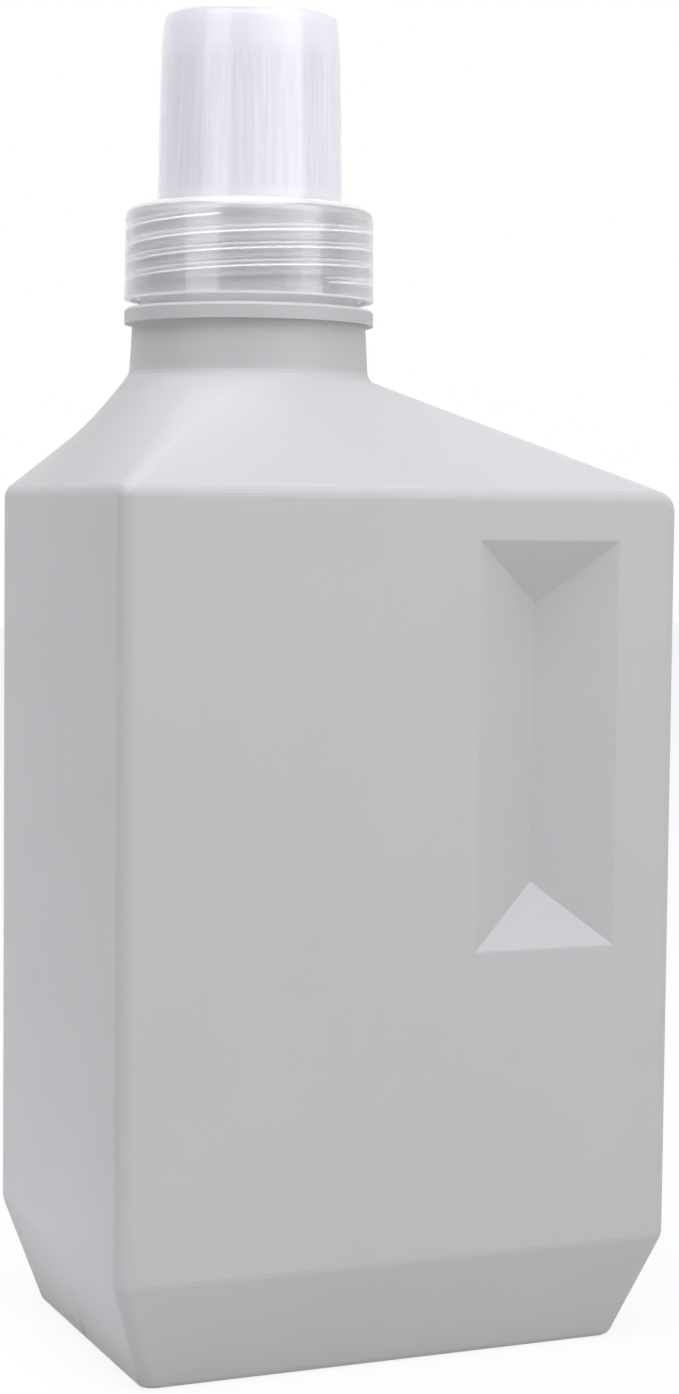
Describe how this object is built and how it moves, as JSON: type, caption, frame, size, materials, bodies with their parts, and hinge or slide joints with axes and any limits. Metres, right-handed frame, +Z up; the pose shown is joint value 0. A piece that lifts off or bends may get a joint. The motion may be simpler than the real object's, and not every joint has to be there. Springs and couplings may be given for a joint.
{
  "type": "refillable detergent dispenser bottle",
  "caption": "Oblong blow-moulded detergent bottle with an off-centre neck, sloping shoulder, grip troughs, pouring spout and a screw-on translucent measuring cap.",
  "frame": {"origin": "on the standing surface, under the middle of the body", "axes": "+Z up along the neck; +X along the broad faces, away from the neck; the face with the neck to its left is at -Y"},
  "size_m": [0.105, 0.071, 0.2385],
  "materials": {
    "bottle_hdpe": "matte moulded HDPE, light warm grey",
    "spout_ldpe": "satin natural LDPE",
    "seal_foam": "matte white foamed PE",
    "cap_pp": "glossy natural polypropylene, milky and translucent"
  },
  "bodies": {
    "bottle": {"bottle": "bottle_hdpe", "pouring_spout": "spout_ldpe"},
    "seal": {"sealing_ring": "seal_foam"},
    "cap": {"measuring_cap": "cap_pp"}
  },
  "joints": [
    {"name": "cap_rise", "type": "slide", "parent": "bottle", "child": "seal", "axis": [0, 0, 1], "range_m": [0, 0.0075]},
    {"name": "cap_turn", "type": "hinge", "parent": "seal", "child": "cap", "pos_m": [-0.0167, 0, 0.2031], "axis": [0, 0, 1], "range_deg": [0, 450]}
  ],
  "couplings": [
    {"joint": "cap_rise", "follows": "cap_turn", "m_per_rad": 0.000954}
  ]
}
